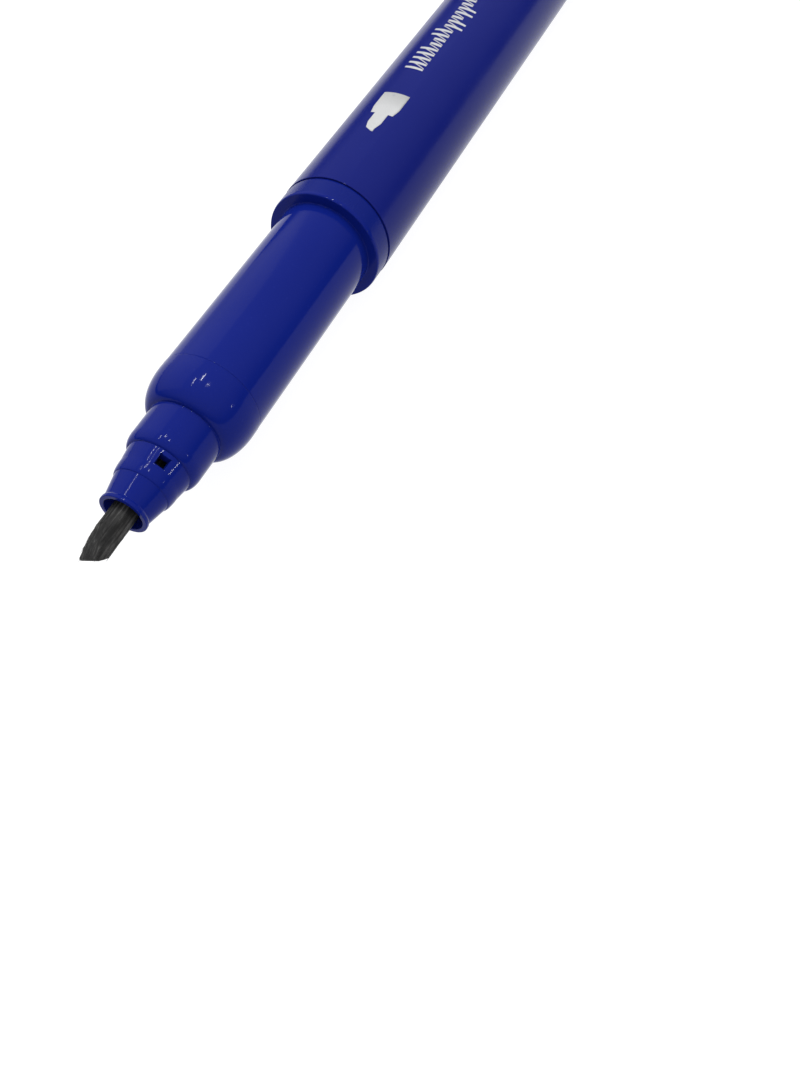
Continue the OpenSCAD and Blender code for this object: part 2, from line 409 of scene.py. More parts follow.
def swept_bar(name: str, place: Place, outline: Outline, width: float,
              roll: float) -> bpy.types.Object:
    """A flat bar: an outline of stations and radii given a width, with rounded edges.

    Args:
        name: Name of the object.
        place: Where the bar sits.
        outline: Closed outline seen from the side.
        width: Width across, in mm.
        roll: Roll of the bar about the marker, in radians.

    Returns:
        The new object.
    """
    mesh = bmesh.new()
    turn = Matrix.Rotation(-roll, 4, "X")

    def corner(station: float, radius: float, across: float) -> Vector:
        """One corner of the bar."""
        spot = place.point(station, radius, 0) + Vector((0, across * MM, 0))
        return turn @ spot

    rows = [[mesh.verts.new(corner(s, r, y)) for s, r in outline] for y in (-width / 2, width / 2)]
    mesh.faces.new(rows[0])
    mesh.faces.new(rows[1][::-1])
    count = len(outline)
    for i in range(count):
        k = (i + 1) % count
        mesh.faces.new((rows[0][i], rows[1][i], rows[1][k], rows[0][k]))
    bmesh.ops.recalc_face_normals(mesh, faces=mesh.faces)
    rims = [e for e in mesh.edges if e.calc_face_angle(0) > 0.6]
    bmesh.ops.bevel(mesh, geom=rims, offset=0.2 * MM, segments=4, affect="EDGES", profile=0.5)
    return mesh_object(name, mesh)


def joined(name: str, parts: Iterable[bpy.types.Object]) -> bpy.types.Object:
    """Joins several meshes into one piece.

    Args:
        name: Name of the piece.
        parts: The objects to join; they are removed.

    Returns:
        The joined object.
    """
    mesh = bmesh.new()
    for part in parts:
        mesh.from_mesh(part.data)
        bpy.data.objects.remove(part)
    return mesh_object(name, mesh, outward=False)


# ---------------------------------------------------------------- geometry node trees


class Tree:
    """A Geometry Nodes tree under construction, with short calls for nodes and inputs."""

    def __init__(self, name: str) -> None:
        """Starts an empty tree with a geometry input and output.

        Args:
            name: Name of the tree.
        """
        self.group = bpy.data.node_groups.new(name, "GeometryNodeTree")
        self.group.interface.new_socket("Geometry", in_out="INPUT", socket_type="NodeSocketGeometry")
        self.group.interface.new_socket("Geometry", in_out="OUTPUT", socket_type="NodeSocketGeometry")
        self.entry = self.group.nodes.new("NodeGroupInput")
        self.exit = self.group.nodes.new("NodeGroupOutput")

    def size(self, name: str, default: Optional[float], kind: str = "NodeSocketFloat") -> Socket:
        """Adds a named input and gives its socket.

        Args:
            name: Name of the input.
            default: Its default value.
            kind: Socket type.

        Returns:
            The output socket of the group input.
        """
        item = self.group.interface.new_socket(name, in_out="INPUT", socket_type=kind)
        if default is not None:
            item.default_value = default
        return self.entry.outputs[name]

    def add(self, kind: str, inputs: Optional[dict] = None, **choices: object) -> bpy.types.Node:
        """Adds a node, sets its choices and feeds its inputs.

        Args:
            kind: Node type.
            inputs: Values or sockets by input name or number.
            choices: Properties of the node.

        Returns:
            The node.
        """
        node = self.group.nodes.new(kind)
        for key, value in choices.items():
            setattr(node, key, value)
        for key, value in (inputs or {}).items():
            socket = node.inputs[key]
            if isinstance(value, Socket):
                self.group.links.new(value, socket)
            else:
                socket.default_value = value
        return node

    def math(self, operation: str, a: Value, b: Value = 0.0, c: Value = 0.0) -> Socket:
        """Adds a maths node and gives its result socket."""
        return self.add("ShaderNodeMath", {0: a, 1: b, 2: c}, operation=operation).outputs[0]

    def vector(self, x: Value = 0.0, y: Value = 0.0, z: Value = 0.0) -> Socket:
        """Combines three numbers into a vector socket."""
        return self.add("ShaderNodeCombineXYZ", {0: x, 1: y, 2: z}).outputs[0]

    def split(self, vector: Socket) -> Iterable[Socket]:
        """Splits a vector socket into its three numbers."""
        return self.add("ShaderNodeSeparateXYZ", {0: vector}).outputs

    def join(self, *parts: Socket) -> Socket:
        """Joins geometry sockets.

        Args:
            parts: The geometries to join.

        Returns:
            The joined geometry.
        """
        node = self.group.nodes.new("GeometryNodeJoinGeometry")
        for part in parts:
            self.group.links.new(part, node.inputs[0])
        return node.outputs[0]

    def finish(self, geometry: Socket, material: Socket) -> None:
        """Ends the tree in Realize Instances and Set Material.

        Args:
            geometry: The finished geometry.
            material: The material input.
        """
        real = self.add("GeometryNodeRealizeInstances", {0: geometry}).outputs[0]
        painted = self.add("GeometryNodeSetMaterial", {0: real, "Material": material}).outputs[0]
        self.group.links.new(painted, self.exit.inputs[0])


def grow(name: str, tree: Tree, sizes: dict,
         seed_mesh: Optional[bpy.types.Object] = None) -> bpy.types.Object:
    """Runs a tree once and keeps its result as a plain mesh piece.

    Args:
        name: Name of the piece.
        tree: The Geometry Nodes tree.
        sizes: Values for the tree's named inputs.
        seed_mesh: Object whose mesh goes into the tree; it is removed.

    Returns:
        The new object, with no modifier left on it.
    """
    data = seed_mesh.data if seed_mesh else bpy.data.meshes.new(name)
    if seed_mesh:
        bpy.data.objects.remove(seed_mesh)
    made = bpy.data.objects.new(name, data)
    bpy.context.scene.collection.objects.link(made)
    modifier = made.modifiers.new(name, "NODES")
    modifier.node_group = tree.group
    for item in tree.group.interface.items_tree:
        if item.item_type == "SOCKET" and item.in_out == "INPUT" and item.name in sizes:
            modifier[item.identifier] = sizes[item.name]
    bpy.context.view_layer.update()
    shape = made.evaluated_get(bpy.context.evaluated_depsgraph_get())
    result = bpy.data.meshes.new_from_object(shape)
    made.modifiers.remove(modifier)
    made.data = result
    result.name = name
    return made


def tube_tree() -> Tree:
    """Builds the tree of a straight tube with broken edges, along X.

    Returns:
        The tree, with inputs for its ends, radii, edge break and columns.
    """
    tree = Tree("TurnedTube")
    start, end = tree.size("Start", 0.0), tree.size("End", 0.07)
    outer, bore = tree.size("Outer Radius", 0.006), tree.size("Bore Radius", 0.005)
    edge = tree.size("Edge Break", 0.0001)
    columns = tree.size("Columns", 192, "NodeSocketInt")
    material = tree.size("Material", None, "NodeSocketMaterial")
    length = tree.math("SUBTRACT", end, start)
    wall = tree.math("SUBTRACT", outer, bore)
    middle = tree.math("MULTIPLY", tree.math("ADD", outer, bore), 0.5)
    path = tree.add("GeometryNodeCurvePrimitiveCircle", {"Resolution": columns, "Radius": middle})
    section = tree.add("GeometryNodeCurvePrimitiveQuadrilateral", {"Width": wall, "Height": length})
    cut = tree.add("GeometryNodeSubdivideCurve", {0: section.outputs[0], "Cuts": 24})
    soft = tree.add("GeometryNodeFilletCurve", {0: cut.outputs[0], "Count": 3, "Radius": edge,
                                               "Limit Radius": True}, mode="POLY")
    ring = tree.add("GeometryNodeCurveToMesh", {0: path.outputs[0], 1: soft.outputs[0]})
    place = tree.vector(tree.math("MULTIPLY", tree.math("ADD", start, end), 0.5))
    laid = tree.add("GeometryNodeTransform", {0: ring.outputs[0], "Translation": place,
                                             "Rotation": (0.0, math.pi / 2, 0.0)})
    smooth = tree.add("GeometryNodeSetShadeSmooth", {0: laid.outputs[0]})
    tree.finish(smooth.outputs[0], material)
    return tree


def print_tree() -> Tree:
    """Builds the tree that lays a band of slanted pen strokes on the barrel and wraps it round.

    Returns:
        The tree. Its geometry input is flat print that is wrapped with the strokes.
    """
    tree = Tree("WrappedPrint")
    count = tree.size("Strokes", 24, "NodeSocketInt")
    start, pitch = tree.size("Start", -0.058), tree.size("Pitch", 0.0007)
    height, width = tree.size("Stroke Height", 0.0014), tree.size("Stroke Width", 0.0004)
    slant = tree.size("Slant", 0.3)
    roll, radius = tree.size("Roll", 0.0), tree.size("Barrel Radius", 0.006)
    ink = tree.size("Ink Thickness", 0.00002)
    seed = tree.size("Seed", 3, "NodeSocketInt")
    material = tree.size("Material", None, "NodeSocketMaterial")

    line = tree.add("GeometryNodeMeshLine", {"Count": count, "Start Location": tree.vector(start),
                                             "Offset": tree.vector(pitch)}, mode="OFFSET")

    def stroke(broad: Socket, tall: Socket, lean: Socket) -> bpy.types.Node:
        """A flat leaning stroke, slightly narrower at its two ends.

        Args:
            broad: Width of the stroke.
            tall: Height of the stroke.
            lean: How far it leans for each unit of its height.

        Returns:
            The node that gives the stroke's mesh.
        """
        flat = tree.add("GeometryNodeMeshGrid", {"Size X": broad, "Size Y": tall,
                                                 "Vertices X": 3, "Vertices Y": 13})
        x, y, _ = tree.split(tree.add("GeometryNodeInputPosition").outputs[0])
        share = tree.math("DIVIDE", y, tall)
        taper = tree.math("SUBTRACT", 1.12, tree.math("MULTIPLY", tree.math("ABSOLUTE", share), 0.5))
        shifted = tree.math("ADD", tree.math("MULTIPLY", x, taper), tree.math("MULTIPLY", y, lean))
        return tree.add("GeometryNodeSetPosition", {0: flat.outputs[0],
                                                    "Position": tree.vector(shifted, y)})

    down = stroke(width, height, slant)
    hair = stroke(tree.math("MULTIPLY", width, 0.36), height, tree.math("ADD", slant, 0.34))
    tallness = tree.add("FunctionNodeRandomValue", {"Seed": seed, 2: 0.0, 3: 1.0}, data_type="FLOAT")
    grade = tree.math("FLOOR", tree.math("MULTIPLY", tallness.outputs[1], 3.0))
    longer = tree.math("MULTIPLY", tree.math("GREATER_THAN", grade, 0.5), 0.55)
    side = tree.math("SUBTRACT", tree.math("MULTIPLY", tree.math("GREATER_THAN", grade, 1.5), 2.0), 1.0)
    rise = tree.math("MULTIPLY", tree.math("MULTIPLY", side, longer), tree.math("MULTIPLY", height, 0.5))
    moved = tree.add("GeometryNodeSetPosition", {0: line.outputs[0], "Offset": tree.vector(0.0, rise)})
    strokes = tree.add("GeometryNodeInstanceOnPoints", {
        0: moved.outputs[0], "Instance": down.outputs[0],
        "Scale": tree.vector(1.0, tree.math("ADD", longer, 1.0), 1.0)})
    gaps = tree.add("GeometryNodeSetPosition", {
        0: line.outputs[0], "Offset": tree.vector(tree.math("MULTIPLY", pitch, 0.5))})
    hairs = tree.add("GeometryNodeInstanceOnPoints", {0: gaps.outputs[0], "Instance": hair.outputs[0]})
    flat = tree.join(strokes.outputs[0], hairs.outputs[0])
    real = tree.add("GeometryNodeRealizeInstances", {0: flat}).outputs[0]
    flat = tree.join(real, tree.entry.outputs["Geometry"])

    x, y, z = tree.split(tree.add("GeometryNodeInputPosition").outputs[0])
    turn = tree.math("ADD", tree.math("DIVIDE", y, radius), roll)
    out = tree.math("ADD", radius, z)
    wrapped = tree.add("GeometryNodeSetPosition", {0: flat, "Position": tree.vector(
        x, tree.math("MULTIPLY", out, tree.math("SINE", turn)),
        tree.math("MULTIPLY", out, tree.math("COSINE", turn)))})
    raised = tree.add("GeometryNodeExtrudeMesh", {0: wrapped.outputs[0], "Offset Scale": ink,
                                                  "Individual": False}, mode="FACES")
    under = tree.add("GeometryNodeFlipFaces", {0: wrapped.outputs[0]})
    whole = tree.join(raised.outputs[0], under.outputs[0])
    sewn = tree.add("GeometryNodeMergeByDistance", {0: whole, "Distance": 0.000002})
    tree.finish(sewn.outputs[0], material)
    return tree


def fibre_tree() -> Tree:
    """Builds the tree that lays fine raised fibres along a nib's surface.

    Returns:
        The tree. Its geometry input is the nib; the fibres follow X on the stretch given.
    """
    tree = Tree("NibFibres")
    density = tree.size("Density", 6.0e6)
    length, thickness = tree.size("Fibre Length", 0.001), tree.size("Fibre Thickness", 0.00003)
    back, front = tree.size("Back", -0.1), tree.size("Front", 0.1)
    seed = tree.size("Seed", 11, "NodeSocketInt")
    material = tree.size("Material", None, "NodeSocketMaterial")
    nib = tree.entry.outputs["Geometry"]
    place = tree.add("GeometryNodeInputPosition").outputs[0]
    x, _, _ = tree.split(place)
    normal = tree.add("GeometryNodeInputNormal").outputs[0]
    nx, _, _ = tree.split(normal)
    within = tree.math("MULTIPLY", tree.math("GREATER_THAN", x, back), tree.math("LESS_THAN", x, front))
    side_on = tree.math("LESS_THAN", tree.math("ABSOLUTE", nx), 0.25)
    chosen = tree.math("MULTIPLY", within, side_on)
    spots = tree.add("GeometryNodeDistributePointsOnFaces", {
        0: nib, "Selection": chosen, "Density": density, "Seed": seed}, distribute_method="RANDOM")
    upright = tree.add("FunctionNodeAlignRotationToVector", {"Vector": spots.outputs["Normal"]}, axis="Z")
    along = tree.add("FunctionNodeAlignRotationToVector", {
        "Rotation": upright.outputs[0], "Vector": (1.0, 0.0, 0.0)}, axis="X", pivot_axis="Z")
    fibre = tree.add("GeometryNodeMeshUVSphere", {"Segments": 6, "Rings": 5, "Radius": 0.5})
    shape = tree.add("GeometryNodeTransform", {0: fibre.outputs[0],
                                              "Scale": tree.vector(length, thickness, thickness)})
    spread = tree.add("FunctionNodeRandomValue", {"Seed": seed, 2: 0.4, 3: 1.3}, data_type="FLOAT")
    hairs = tree.add("GeometryNodeInstanceOnPoints", {
        0: spots.outputs[0], "Instance": shape.outputs[0], "Rotation": along.outputs[0],
        "Scale": tree.vector(spread.outputs[1], 1.0, 1.0)})
    soft = tree.add("GeometryNodeSetShadeSmooth", {0: hairs.outputs[0]})
    tree.finish(tree.join(nib, soft.outputs[0]), material)
    return tree


# ---------------------------------------------------------------- finishes


class Shader:
    """A material under construction, with short calls for its nodes."""

    def __init__(self, name: str, slot: str) -> None:
        """Starts a material with a principled shader and the piece's own coordinates.

        Args:
            name: Name of the material.
            slot: The record slot that the finish stands for.
        """
        self.material = bpy.data.materials.new(name)
        self.slot = slot
        self.material.use_nodes = True
        self.nodes = self.material.node_tree.nodes
        self.links = self.material.node_tree.links
        self.surface = next(n for n in self.nodes if n.type == "BSDF_PRINCIPLED")
        place = self.nodes.new("ShaderNodeTexCoord")
        self.place = place.outputs["Object"]

    def set(self, **values: Value) -> None:
        """Sets the shader's own sockets; underscores stand for spaces."""
        for key, value in values.items():
            self.surface.inputs[key.replace("_", " ")].default_value = value

    def feed(self, value: Value, socket: Socket) -> None:
        """Links a socket or sets a value.

        Args:
            value: A socket to link, or a number or colour to set.
            socket: The input that takes it.
        """
        if isinstance(value, Socket):
            self.links.new(value, socket)
        else:
            socket.default_value = value

    def grain(self, scale: float, stretch: Point = (1.0, 1.0), detail: float = 4.0,
              rough: float = 0.55) -> Socket:
        """Noise on object coordinates.

        Args:
            scale: Cells for each millimetre.
            stretch: Scale along the marker and across it.
            detail: Octaves of the noise.
            rough: Strength of the finer octaves.

        Returns:
            The noise's value socket.
        """
        mapping = self.nodes.new("ShaderNodeMapping")
        size = scale / MM
        mapping.inputs["Scale"].default_value = (size * stretch[0], size * stretch[1], size * stretch[1])
        self.links.new(self.place, mapping.inputs["Vector"])
        texture = self.nodes.new("ShaderNodeTexNoise")
        texture.inputs["Scale"].default_value = 1.0
        texture.inputs["Detail"].default_value = detail
        texture.inputs["Roughness"].default_value = rough
        self.links.new(mapping.outputs[0], texture.inputs["Vector"])
        return texture.outputs["Fac"]

    def ramp(self, value: Value, stops: list[tuple[float, Colour]]) -> Socket:
        """Turns a value into a colour.

        Args:
            value: The value, 0 to 1.
            stops: Places and colours along it.

        Returns:
            The colour's socket.
        """
        node = self.nodes.new("ShaderNodeValToRGB")
        self.feed(value, node.inputs[0])
        elements = node.color_ramp.elements
        while len(elements) < len(stops):
            elements.new(0.5)
        for element, (spot, colour) in zip(elements, stops):
            element.position = spot
            element.color = (*colour, 1.0)
        return node.outputs[0]

    def level(self, value: Value, low: float, high: float, start: float = 0.3,
              end: float = 0.7) -> Socket:
        """Maps a value from one range onto another.

        Args:
            value: The value.
            low: Result where the value is start or less.
            high: Result where the value is end or more.
            start: Low end of the value's range.
            end: High end of the value's range.

        Returns:
            The result's socket.
        """
        node = self.nodes.new("ShaderNodeMapRange")
        for socket, number in zip(node.inputs[1:5], (start, end, low, high)):
            socket.default_value = number
        self.feed(value, node.inputs[0])
        return node.outputs[0]

    def blend(self, share: Value, first: Value, second: Value) -> Socket:
        """Mixes two colours.

        Args:
            share: How much of the second colour, 0 to 1.
            first: The first colour.
            second: The second colour.

        Returns:
            The mixed colour's socket.
        """
        node = self.nodes.new("ShaderNodeMix")
        node.data_type = "RGBA"
        self.feed(share, node.inputs[0])
        self.feed(first, node.inputs[6])
        self.feed(second, node.inputs[7])
        return node.outputs[2]

    def bump(self, *heights: tuple[Socket, float, float]) -> None:
        """Adds bump layers.

        Args:
            heights: For each layer its height socket, its strength and its depth in millimetres.
        """
        normal = None
        for height, strength, depth in heights:
            node = self.nodes.new("ShaderNodeBump")
            node.inputs["Strength"].default_value = strength
            node.inputs["Distance"].default_value = depth * MM
            self.feed(height, node.inputs["Height"])
            if normal is not None:
                self.links.new(normal, node.inputs["Normal"])
            normal = node.outputs[0]
        self.links.new(normal, self.surface.inputs["Normal"])


@dataclass(frozen=True)
class MouldedPlastic:
    """Moulded plastic: a body colour with faint clouding, a skin gloss, flecks and scratches."""

    name: str
    slot: str
    body: Colour
    pale: Colour
    gloss: float
    matt: float
    grain_depth: float
    scratch_depth: float = 0.0012
    shine: float = 0.16
    glow: float = 0.0

    def make(self) -> Shader:
        """Builds the material.

        Returns:
            The shader that holds it.
        """
        paint = Shader(self.name, self.slot)
        cloud = paint.grain(0.09, (0.5, 1.0), 3.0)
        tint = paint.ramp(cloud, [(0.3, self.body), (0.75, self.pale)])
        fleck = paint.level(paint.grain(3.1, (1.0, 1.0), 2.0), 0.0, 0.16, 0.66, 0.8)
        worn = paint.blend(fleck, tint, (*[min(1.0, c * 1.8 + 0.02) for c in self.body], 1.0))
        paint.feed(worn, paint.surface.inputs["Base Color"])
        smear = paint.grain(0.35, (0.35, 1.0), 5.0)
        paint.feed(paint.level(smear, self.gloss, self.matt), paint.surface.inputs["Roughness"])
        scratches = paint.level(paint.grain(1.7, (0.06, 3.2), 3.0), 0.0, 1.0, 0.57, 0.68)
        paint.bump((paint.grain(7.0, (1.0, 1.0), 3.0), 0.5, self.grain_depth),
                   (scratches, 0.35, self.scratch_depth))
        paint.set(IOR=1.49, Specular_IOR_Level=self.shine)
        if self.glow:
            paint.set(Subsurface_Weight=self.glow, Subsurface_Scale=0.0006,
                      Subsurface_Radius=(0.2, 0.3, 1.0))
        return paint


@dataclass(frozen=True)
class PressedFibre:
    """Pressed fibre rod: streaks along the rod, open pores and ink that has soaked in."""

    name: str
    slot: str
    dark: Colour
    mid: Colour
    light: Colour
    streak: float = 1.0
    depth: float = 0.014

    def make(self) -> Shader:
        """Builds the material.

        Returns:
            The shader that holds it.
        """
        paint = Shader(self.name, self.slot)
        streaks = paint.grain(4.2 * self.streak, (0.07, 1.0), 6.0, 0.62)
        pores = paint.grain(9.0, (0.5, 1.0), 3.0)
        soak = paint.grain(0.8, (0.6, 1.0), 4.0)
        fibre = paint.ramp(streaks, [(0.36, self.dark), (0.52, self.mid), (0.7, self.light)])
        inked = paint.blend(paint.level(soak, 0.0, 0.65, 0.42, 0.62), fibre, (*self.dark, 1.0))
        paint.feed(inked, paint.surface.inputs["Base Color"])
        paint.feed(paint.level(soak, 0.42, 0.74), paint.surface.inputs["Roughness"])
        paint.bump((streaks, 0.8, self.depth), (pores, 0.5, self.depth * 0.5))
        paint.set(IOR=1.45, Specular_IOR_Level=0.22)
        return paint


@dataclass(frozen=True)
class SilverInk:
    """Silver pad print: fine flakes, thin spots where the barrel shows through, a dull sheen."""

    name: str
    slot: str
    silver: Colour
    thin: Colour

    def make(self) -> Shader:
        """Builds the material.

        Returns:
            The shader that holds it.
        """
        paint = Shader(self.name, self.slot)
        flakes = paint.grain(14.0, (1.0, 1.0), 2.0)
        patch = paint.grain(1.1, (1.0, 1.0), 5.0)
        shaded = tuple(c * 0.9 for c in self.silver)
        bright = paint.ramp(flakes, [(0.35, shaded), (0.65, self.silver)])
        worn = paint.blend(paint.level(patch, 0.0, 0.5, 0.66, 0.8), bright, (*self.thin, 1.0))
        paint.feed(worn, paint.surface.inputs["Base Color"])
        paint.feed(paint.level(patch, 0.38, 0.55), paint.surface.inputs["Roughness"])
        paint.bump((flakes, 0.3, 0.004))
        paint.set(Metallic=0.1, IOR=1.5, Specular_IOR_Level=0.3)
        return paint


@dataclass(frozen=True)
class ClearFilm:
    """Thin clear film with a milky cast and fine length-wise draw lines."""

    name: str
    slot: str

    def make(self) -> Shader:
        """Builds the material.

        Returns:
            The shader that holds it.
        """
        paint = Shader(self.name, self.slot)
        lines = paint.grain(2.5, (0.05, 1.0), 3.0)
        paint.feed(paint.ramp(lines, [(0.3, (0.62, 0.66, 0.7)), (0.7, (0.8, 0.83, 0.85))]),
                   paint.surface.inputs["Base Color"])
        paint.feed(paint.level(lines, 0.12, 0.3), paint.surface.inputs["Roughness"])
        paint.bump((lines, 0.3, 0.008))
        paint.set(IOR=1.5, Transmission_Weight=0.35)
        return paint


@dataclass
class Finishes:
    """Every finish of the marker, made once."""

    barrel: Shader = field(default_factory=lambda: MouldedPlastic(
        "satin_barrel_blue", "barrel_blue", (0.006, 0.011, 0.136), (0.008, 0.014, 0.150),
        0.17, 0.24, 0.003, shine=0.05).make())
    blue: Shader = field(default_factory=lambda: MouldedPlastic(
        "gloss_moulding_blue", "gloss_blue", (0.003, 0.010, 0.152), (0.005, 0.013, 0.170),
        0.07, 0.12, 0.001, shine=0.062).make())
    blue_collar: Shader = field(default_factory=lambda: MouldedPlastic(
        "satin_collar_blue", "gloss_blue", (0.003, 0.010, 0.140), (0.005, 0.013, 0.155),
        0.22, 0.3, 0.003, shine=0.06).make())
    black: Shader = field(default_factory=lambda: MouldedPlastic(
        "gloss_moulding_black", "gloss_black", (0.004, 0.005, 0.005), (0.007, 0.008, 0.008),
        0.09, 0.15, 0.0012, shine=0.2).make())
    collar: Shader = field(default_factory=lambda: MouldedPlastic(
        "satin_collar_black", "gloss_black", (0.014, 0.017, 0.016), (0.02, 0.024, 0.022),
        0.3, 0.42, 0.006, shine=0.22).make())
    nib: Shader = field(default_factory=lambda: PressedFibre(
        "ink_stained_fibre", "nib_fibre", (0.008, 0.008, 0.0078), (0.020, 0.0197, 0.019),
        (0.10, 0.098, 0.094)).make())
    wick: Shader = field(default_factory=lambda: PressedFibre(
        "reservoir_wadding", "reservoir_fibre", (0.012, 0.012, 0.014), (0.03, 0.03, 0.035),
        (0.09, 0.09, 0.1), streak=0.5).make())
    film: Shader = field(default_factory=lambda: ClearFilm("reservoir_wrap", "reservoir_film").make())
    seal: Shader = field(default_factory=lambda: MouldedPlastic(
        "milky_seal_white", "seal_white", (0.72, 0.73, 0.72), (0.8, 0.8, 0.79),
        0.3, 0.42, 0.004, shine=0.4, glow=0.3).make())
    silver: Shader = field(default_factory=lambda: SilverInk(
        "silver_pad_print", "barrel_blue", (0.53, 0.535, 0.53), (0.2, 0.21, 0.4)).make())


def dress(piece: bpy.types.Object, finish: Shader) -> None:
    """Gives a piece its finish.

    Args:
        piece: The piece.
        finish: The finish.
    """
    piece.data.materials.clear()
    piece.data.materials.append(finish.material)


def fit(piece: bpy.types.Object, finish: Shader, body: Body, *nodes: str) -> bpy.types.Object:
    """Dresses a piece, lets it ride on its body and lets it stand for its CAD nodes.

    Args:
        piece: The finished mesh.
        finish: Its finish.
        body: Body that it rides on.
        nodes: CAD nodes that it replaces.

    Returns:
        The piece.
    """
    dress(piece, finish)
    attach(piece, body.value)
    if nodes:
        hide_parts(*nodes)
    LOG.info("%s: %d faces on %s", piece.name, len(piece.data.polygons), body.value)
    return piece


# ---------------------------------------------------------------- sub-assemblies


@dataclass
class Barrel:
    """The plain tube between the collars, with its printed band and tip pictograms."""

    finishes: Finishes
    length: float = BARREL_LEN
    radius: float = 6.0
    bore_r: float = 4.95
    edge_break: float = 0.12
    ink: float = 0.02
    stroke_start: float = 21.0
    stroke_pitch: float = 1.04
    stroke_h: float = 1.4
    stroke_w: float = 0.36
    stroke_slant: float = 0.24
    strokes: int = 16
    fine_print_roll: float = 2.0
    mark_tip: float = 8.6
    mark_len: float = 7.2
    mark_w: float = 2.9
    columns: int = 224

    def build(self) -> None:
        """Builds the tube, then the print at each end."""
        tube = grow("barrel_tube_moulding", tube_tree(), {
            "Start": -self.length / 2 * MM, "End": self.length / 2 * MM,
            "Outer Radius": self.radius * MM, "Bore Radius": self.bore_r * MM,
            "Edge Break": self.edge_break * MM, "Columns": self.columns,
            "Material": self.finishes.barrel.material})
        tube.data.set_sharp_from_angle(angle=math.radians(12))
        fit(tube, self.finishes.barrel, Body.MARKER, "barrel_tube")
        wrap = print_tree()
        for end, strokes, roll in ((End.FINE, self.strokes, self.fine_print_roll), (End.BROAD, 0, 0.0)):
            printed = grow(f"{end.name.lower()}_silver_print", wrap, {
                "Strokes": strokes, "Start": end.value * (self.length / 2 - self.stroke_start) * MM,
                "Pitch": -end.value * self.stroke_pitch * MM, "Stroke Height": self.stroke_h * MM,
                "Stroke Width": self.stroke_w * MM, "Slant": self.stroke_slant,
                "Roll": math.radians(roll), "Barrel Radius": self.radius * MM,
                "Ink Thickness": self.ink * MM,
                "Material": self.finishes.silver.material}, self._pictogram(end))
            fit(printed, self.finishes.silver, Body.MARKER)

    def _pictogram(self, end: End) -> bpy.types.Object:
        """Makes the flat sign that tells which tip is at this end: a rod with a slanted wedge.

        Args:
            end: The end it points to.

        Returns:
            A flat mesh in the XY plane, ready to be wrapped.
        """
        half = self.mark_w / 2
        waist, tip = (half * share for share in ((0.5, 0.32) if end is End.FINE else (0.72, 0.66)))
        shoulder = self.mark_len * 0.45
        # distance from the tip, lower edge, upper edge
        sides = [(0.0, -tip, -tip * 0.6), (0.5, -tip, tip), (1.5, -waist, waist),
                 (shoulder, -waist, waist), (shoulder + 0.02, -half * 0.85, half * 0.85),
                 (self.mark_len * 0.62, -half, half), (self.mark_len, -half, half)]
        mesh = bmesh.new()
        across = 14
        rows = []
        for back, low, high in sides:
            x = end.value * (self.length / 2 - self.mark_tip - back) * MM
            rows.append([mesh.verts.new((x, (low + (high - low) * k / across) * MM, 0))
                         for k in range(across + 1)])
        for row, ahead in zip(rows, rows[1:]):
            for k in range(across):
                mesh.faces.new((row[k], ahead[k], ahead[k + 1], row[k + 1]))
        for face in mesh.faces:
            face.normal_update()
            if face.normal.z < 0:
                face.normal_flip()
        return mesh_object(f"{end.name.lower()}_pictogram", mesh, outward=False)


@dataclass
class Section:
    """A neck with the collar that stops the cap and the spigot pushed into the barrel."""

    place: Place
    neck_r: float
    finish: Shader
    collar_finish: Shader
    parting: Optional[PartingLine] = None
    collar_r: float = 5.94
    collar_len: float = 2.7
    groove_depth: float = 0.1
    groove_w: float = 0.28
    front_round: Point = (0.35, 0.12)
    spigot_r: float = 4.92
    spigot_len: float = 9.0
    ring_station: float = RING_STATION
    bore_r: float = 3.7

    def build(self) -> None:
        """Builds the section as one turned moulding."""
        name = self.place.end.name.lower()
        groove_r = self.collar_r - self.groove_depth
        outline = [(-self.spigot_len, self.bore_r), (-self.spigot_len, self.spigot_r),
                   (0.0, self.spigot_r), (0.0, groove_r), (self.groove_w, groove_r),
                   (self.groove_w, self.collar_r)]
        along, inward = self.front_round
        outline += rounding(self.collar_len - along, self.collar_r, self.collar_len, self.collar_r - inward)
        outline += [(self.collar_len, self.neck_r), (self.ring_station, self.neck_r),
                    (self.ring_station, self.bore_r)]
        shape = Turning(soften(outline, 0.09), parting=self.parting)
        piece = shape.build(f"{name}_neck_moulding", self.place)
        fit(piece, self.finish, Body.MARKER, f"{name}_section")
        if self.collar_finish is not self.finish:
            self._dress_collar(piece)

    def _dress_collar(self, piece: bpy.types.Object) -> None:
        """Gives the collar's outer band its own satin finish.

        Args:
            piece: The neck moulding.
        """
        piece.data.materials.append(self.collar_finish.material)
        reach = (self.place.barrel_len / 2 + self.collar_len - 0.5) * MM
        for face in piece.data.polygons:
            away = math.hypot(face.center.y, face.center.z)
            if away > (self.collar_r - 0.1) * MM and abs(face.center.x) < reach:
                face.material_index = 1


